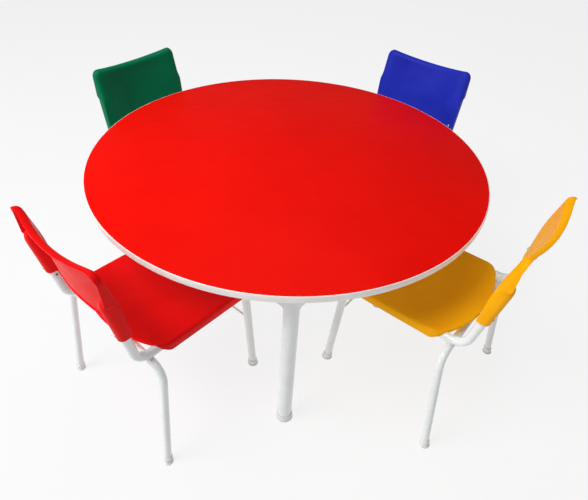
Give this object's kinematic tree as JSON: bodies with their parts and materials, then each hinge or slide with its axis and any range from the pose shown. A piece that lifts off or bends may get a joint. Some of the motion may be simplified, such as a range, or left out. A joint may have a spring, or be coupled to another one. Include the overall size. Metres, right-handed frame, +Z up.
{
  "type": "kids table and chairs",
  "caption": "Round children's table on four steel tube legs with a red laminate top and matching moulded plastic chairs in red, yellow, green and blue on bent white tube frames.",
  "frame": {"origin": "on the floor under the middle of the whole set's footprint; the table's own middle is 18 mm to the left of it and 4 mm behind it", "axes": "+Z up, -Y towards the front table leg, +X towards the right table leg"},
  "size_m": [1.2884, 1.2519, 0.6491],
  "materials": {
    "red_laminate": "satin",
    "white_backer": "satin",
    "mdf_core": "matte",
    "white_edge_plastic": "satin",
    "white_painted_steel": "gloss",
    "zinc_steel": "satin",
    "white_cap_plastic": "satin",
    "red_plastic": "satin",
    "yellow_plastic": "satin",
    "green_plastic": "satin",
    "blue_plastic": "satin"
  },
  "bodies": {
    "table": {"tabletop_board": "mdf_core", "tabletop_laminate": "red_laminate", "tabletop_backer": "white_backer", "edge_band": "white_edge_plastic", "right_leg": "white_painted_steel", "back_leg": "white_painted_steel", "left_leg": "white_painted_steel", "front_leg": "white_painted_steel", "apron_rail_1": "white_painted_steel", "apron_rail_2": "white_painted_steel", "apron_rail_3": "white_painted_steel", "apron_rail_4": "white_painted_steel", "leg_plates": "white_painted_steel", "plate_screws": "zinc_steel", "table_foot_caps": "white_cap_plastic"},
    "red_chair": {"red_chair_seat": "red_plastic", "red_chair_backrest": "red_plastic", "red_chair_left_side_frame": "white_painted_steel", "red_chair_right_side_frame": "white_painted_steel", "red_chair_rear_leg_arch": "white_painted_steel", "red_chair_front_crossbar": "white_painted_steel", "red_chair_seat_beam": "white_painted_steel", "red_chair_seat_tabs": "white_painted_steel", "red_chair_seat_screws": "zinc_steel", "red_chair_back_rivets": "zinc_steel", "red_chair_foot_caps": "white_cap_plastic"},
    "yellow_chair": {"yellow_chair_seat": "yellow_plastic", "yellow_chair_backrest": "yellow_plastic", "yellow_chair_left_side_frame": "white_painted_steel", "yellow_chair_right_side_frame": "white_painted_steel", "yellow_chair_rear_leg_arch": "white_painted_steel", "yellow_chair_front_crossbar": "white_painted_steel", "yellow_chair_seat_beam": "white_painted_steel", "yellow_chair_seat_tabs": "white_painted_steel", "yellow_chair_seat_screws": "zinc_steel", "yellow_chair_back_rivets": "zinc_steel", "yellow_chair_foot_caps": "white_cap_plastic"},
    "green_chair": {"green_chair_seat": "green_plastic", "green_chair_backrest": "green_plastic", "green_chair_left_side_frame": "white_painted_steel", "green_chair_right_side_frame": "white_painted_steel", "green_chair_rear_leg_arch": "white_painted_steel", "green_chair_front_crossbar": "white_painted_steel", "green_chair_seat_beam": "white_painted_steel", "green_chair_seat_tabs": "white_painted_steel", "green_chair_seat_screws": "zinc_steel", "green_chair_back_rivets": "zinc_steel", "green_chair_foot_caps": "white_cap_plastic"},
    "blue_chair": {"blue_chair_seat": "blue_plastic", "blue_chair_backrest": "blue_plastic", "blue_chair_left_side_frame": "white_painted_steel", "blue_chair_right_side_frame": "white_painted_steel", "blue_chair_rear_leg_arch": "white_painted_steel", "blue_chair_front_crossbar": "white_painted_steel", "blue_chair_seat_beam": "white_painted_steel", "blue_chair_seat_tabs": "white_painted_steel", "blue_chair_seat_screws": "zinc_steel", "blue_chair_back_rivets": "zinc_steel", "blue_chair_foot_caps": "white_cap_plastic"}
  },
  "joints": [
    {"name": "red_chair_slide", "type": "slide", "parent": "table", "child": "red_chair", "axis": [-0.6909, -0.723, 0], "range_m": [-0.08, 0.3]},
    {"name": "yellow_chair_slide", "type": "slide", "parent": "table", "child": "yellow_chair", "axis": [0.7536, -0.6574, 0], "range_m": [-0.08, 0.3]},
    {"name": "green_chair_slide", "type": "slide", "parent": "table", "child": "green_chair", "axis": [-0.7536, 0.6574, 0], "range_m": [-0.08, 0.3]},
    {"name": "blue_chair_slide", "type": "slide", "parent": "table", "child": "blue_chair", "axis": [0.6896, 0.7242, 0], "range_m": [-0.08, 0.3]}
  ]
}
